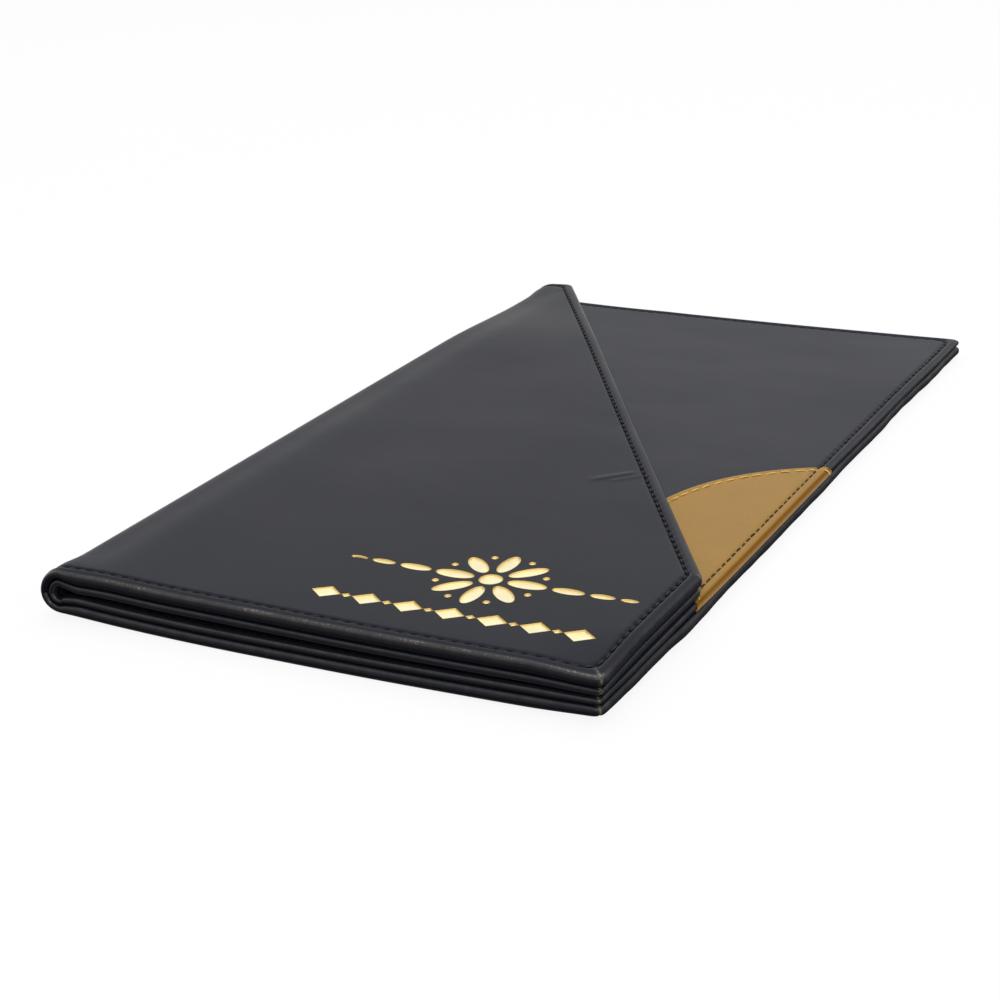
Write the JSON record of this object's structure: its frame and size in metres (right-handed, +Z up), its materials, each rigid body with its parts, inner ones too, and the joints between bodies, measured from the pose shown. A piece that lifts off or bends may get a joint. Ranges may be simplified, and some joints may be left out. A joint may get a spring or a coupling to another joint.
{
  "type": "guest check presenter",
  "caption": "Folded check presenter of wrapped boards with a slanted front flap, half-round accent patch, sewn rim and stamped ornament.",
  "frame": {"origin": "under the middle of the closed presenter, on the face it rests on", "axes": "+X from the spine to the opening edge, +Y from the near end to the far end, +Z up"},
  "size_m": [0.133, 0.248, 0.0116],
  "materials": {
    "cover_leather": "satin black leatherette, fine grain, rolled and sewn edges",
    "lining_leather": "satin black leatherette, thin",
    "accent_leather": "satin old-gold leatherette",
    "thread": "black sewing thread",
    "accent_thread": "yellow-gold sewing thread",
    "board": "greyboard, matte",
    "card": "card, matte",
    "foam": "thin foam sheet",
    "foil": "hot-stamped gold foil, bright"
  },
  "bodies": {
    "back_half": {"back_cover_skin": "cover_leather", "back_cover_board": "board", "back_panel_skin": "lining_leather", "back_panel_card": "card", "accent_patch": "accent_leather", "accent_thread": "accent_thread", "back_outer_thread": "thread", "back_inner_thread": "thread", "bill_pocket": "lining_leather", "pocket_thread": "thread"},
    "spine": {"spine_skin": "cover_leather", "spine_lining": "lining_leather", "spine_outer_thread": "thread", "spine_inner_thread": "thread"},
    "front_half": {"front_cover_skin": "cover_leather", "front_cover_padding": "foam", "front_cover_board": "board", "front_outer_thread": "thread", "foil_ornament": "foil", "front_panel_skin": "lining_leather", "front_panel_card": "card", "front_inner_thread": "thread"}
  },
  "joints": [
    {"name": "spine_bend", "type": "hinge", "parent": "back_half", "child": "spine", "pos_m": [-0.06528, 0, 0.00125], "axis": [0, -1, 0], "range_deg": [0, 90.29]},
    {"name": "flap_bend", "type": "hinge", "parent": "spine", "child": "front_half", "pos_m": [-0.06523, 0, 0.01035], "axis": [0, -1, 0], "range_deg": [0, 90.29]}
  ],
  "couplings": [
    {"joint": "spine_bend", "follows": "flap_bend", "ratio": 1}
  ]
}
